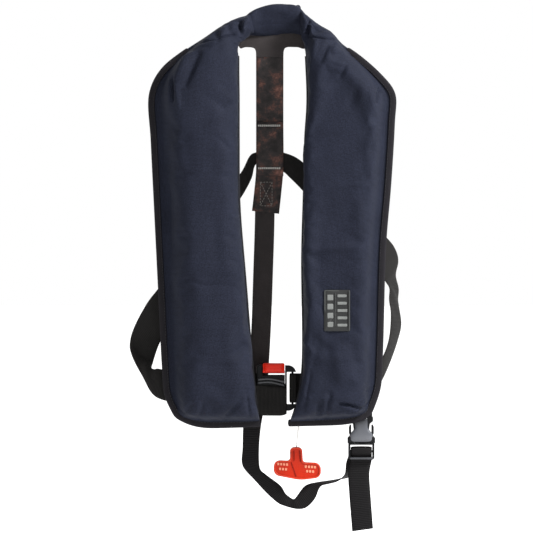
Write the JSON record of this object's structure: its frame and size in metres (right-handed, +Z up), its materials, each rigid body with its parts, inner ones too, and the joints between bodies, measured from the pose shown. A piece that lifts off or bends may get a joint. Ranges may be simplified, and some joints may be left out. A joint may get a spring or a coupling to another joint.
{
  "type": "inflatable life jacket",
  "caption": "Horseshoe life jacket with padded navy lobes, waist belt and buckle, back straps, crotch strap, pull handle and a hidden gas inflator.",
  "frame": {"origin": "neck rest: middle of the neck opening's upper edge, where the jacket hangs or is worn", "axes": "+Z up, +X to the viewer's right seen from the front, the front faces -Y"},
  "size_m": [0.3744, 0.0903, 0.7196],
  "materials": {
    "cover_fabric": "fine woven navy polyester, satin",
    "lining_fabric": "black woven lining, matt",
    "binding_tape": "black grosgrain tape, matt",
    "belt_webbing": "black polyester webbing, ribbed",
    "back_webbing": "black webbing with a slight shine",
    "crotch_webbing": "dark grey-black webbing, ribbed",
    "thread": "white bonded thread",
    "bladder_fabric": "coated yellow fabric, folded",
    "hook_and_loop": "black hook-and-loop",
    "reflective": "retroreflective silver",
    "becket_webbing": "white webbing",
    "buckle_plastic": "black acetal, satin",
    "red_plastic": "red-orange moulded plastic",
    "badge_rubber": "grey moulded rubber",
    "cord": "white braided cord",
    "inflator_plastic": "grey moulded plastic",
    "yellow_plastic": "yellow moulded plastic",
    "tube_rubber": "black moulded rubber",
    "steel": "plated steel",
    "tablet": "pressed white water-soluble tablet"
  },
  "bodies": {
    "jacket": {"back_panel_left": "lining_fabric", "back_panel_right": "lining_fabric", "back_strap_narrow": "back_webbing", "back_strap_wide": "back_webbing", "badge_patch": "badge_rubber", "bar_stitches": "thread", "belt_left": "belt_webbing", "belt_loop_left": "belt_webbing", "belt_loop_right": "belt_webbing", "belt_right": "belt_webbing", "belt_tail": "belt_webbing", "binding_left": "binding_tape", "binding_right": "binding_tape", "bladder_collar": "bladder_fabric", "bladder_left": "bladder_fabric", "bladder_right": "bladder_fabric", "closure_left": "hook_and_loop", "closure_right": "hook_and_loop", "cover_collar": "cover_fabric", "cover_left": "cover_fabric", "cover_right": "cover_fabric", "crotch_buckle_housing": "buckle_plastic", "crotch_strap": "crotch_webbing", "crotch_tab": "crotch_webbing", "firing_spring": "steel", "hem_grommet": "inflator_plastic", "inflator_body": "inflator_plastic", "lever_pin": "steel", "lifting_becket": "becket_webbing", "manifold": "tube_rubber", "manifold_gasket": "tube_rubber", "manifold_nut": "steel", "neck_lining": "lining_fabric", "oral_tube": "tube_rubber", "oral_valve": "tube_rubber", "reflective_tapes": "reflective", "status_indicator": "inflator_plastic", "strap_tunnel": "back_webbing", "valve_spring": "steel", "waist_buckle_housing": "buckle_plastic", "whistle": "yellow_plastic"},
    "waist_plug": {"waist_buckle_plug": "buckle_plastic", "belt_right_front": "belt_webbing"},
    "waist_arm_upper": {"waist_arm_upper": "buckle_plastic", "waist_pad_upper": "red_plastic"},
    "waist_arm_lower": {"waist_arm_lower": "buckle_plastic", "waist_pad_lower": "red_plastic"},
    "crotch_plug": {"crotch_buckle_plug": "buckle_plastic", "crotch_tail": "crotch_webbing"},
    "crotch_arm_left": {"crotch_arm_left": "buckle_plastic"},
    "crotch_arm_right": {"crotch_arm_right": "buckle_plastic"},
    "handle": {"pull_handle": "red_plastic", "pull_cord": "cord"},
    "lever": {"inflator_lever": "yellow_plastic"},
    "striker": {"striker": "steel"},
    "gas_cylinder": {"gas_cylinder": "steel"},
    "firing_cap": {"firing_cap": "yellow_plastic", "bobbin": "tablet"},
    "dust_cap": {"dust_cap": "tube_rubber"},
    "poppet": {"valve_poppet": "red_plastic"}
  },
  "joints": [
    {"name": "waist_buckle_release", "type": "slide", "parent": "jacket", "child": "waist_plug", "axis": [1, 0, 0], "range_m": [0, 0.034], "deforming": ["belt_right_front"]},
    {"name": "waist_arm_upper_press", "type": "hinge", "parent": "waist_plug", "child": "waist_arm_upper", "pos_m": [0.0175, 0.011, -0.4425], "axis": [0, -1, 0], "range_deg": [0, 4], "stiffness_Nm_per_rad": 1.2},
    {"name": "waist_arm_lower_press", "type": "hinge", "parent": "waist_plug", "child": "waist_arm_lower", "pos_m": [0.0175, 0.011, -0.4865], "axis": [0, 1, 0], "range_deg": [0, 4], "stiffness_Nm_per_rad": 1.2},
    {"name": "crotch_buckle_release", "type": "slide", "parent": "jacket", "child": "crotch_plug", "axis": [0, 0, -1], "range_m": [0, 0.028], "deforming": ["crotch_strap"]},
    {"name": "crotch_arm_left_press", "type": "hinge", "parent": "crotch_plug", "child": "crotch_arm_left", "pos_m": [0.107, 0.009, -0.5397], "axis": [0, 1, 0], "range_deg": [0, 5], "stiffness_Nm_per_rad": 0.8},
    {"name": "crotch_arm_right_press", "type": "hinge", "parent": "crotch_plug", "child": "crotch_arm_right", "pos_m": [0.137, 0.009, -0.5397], "axis": [0, -1, 0], "range_deg": [0, 5], "stiffness_Nm_per_rad": 0.8},
    {"name": "handle_pull", "type": "slide", "parent": "jacket", "child": "handle", "axis": [0, 0, -1], "range_m": [0, 0.0224], "deforming": ["pull_cord"]},
    {"name": "lever_swing", "type": "hinge", "parent": "jacket", "child": "lever", "pos_m": [0.068, -0.024, -0.446], "axis": [0, -1, 0], "range_deg": [0, 80]},
    {"name": "striker_stroke", "type": "slide", "parent": "jacket", "child": "striker", "axis": [0, 0, 1], "range_m": [0, 0.0046], "deforming": ["firing_spring"]},
    {"name": "cylinder_unscrew", "type": "hinge", "parent": "jacket", "child": "gas_cylinder", "pos_m": [0.09, -0.024, -0.412], "axis": [0, 0, 1], "continuous": true},
    {"name": "firing_cap_unscrew", "type": "hinge", "parent": "jacket", "child": "firing_cap", "pos_m": [0.09, -0.024, -0.467], "axis": [0, 0, 1], "continuous": true},
    {"name": "dust_cap_pull", "type": "slide", "parent": "jacket", "child": "dust_cap", "axis": [0, 0, 1], "range_m": [0, 0.026]},
    {"name": "poppet_press", "type": "slide", "parent": "jacket", "child": "poppet", "axis": [0, 0, -1], "range_m": [0, 0.003], "stiffness_N_per_m": 250, "deforming": ["valve_spring"]}
  ],
  "couplings": [
    {"joint": "waist_arm_lower_press", "follows": "waist_arm_upper_press", "ratio": 1},
    {"joint": "crotch_arm_right_press", "follows": "crotch_arm_left_press", "ratio": 1},
    {"joint": "lever_swing", "follows": "handle_pull", "rad_per_m": 62.271},
    {"joint": "striker_stroke", "follows": "handle_pull", "ratio": 0.2}
  ]
}
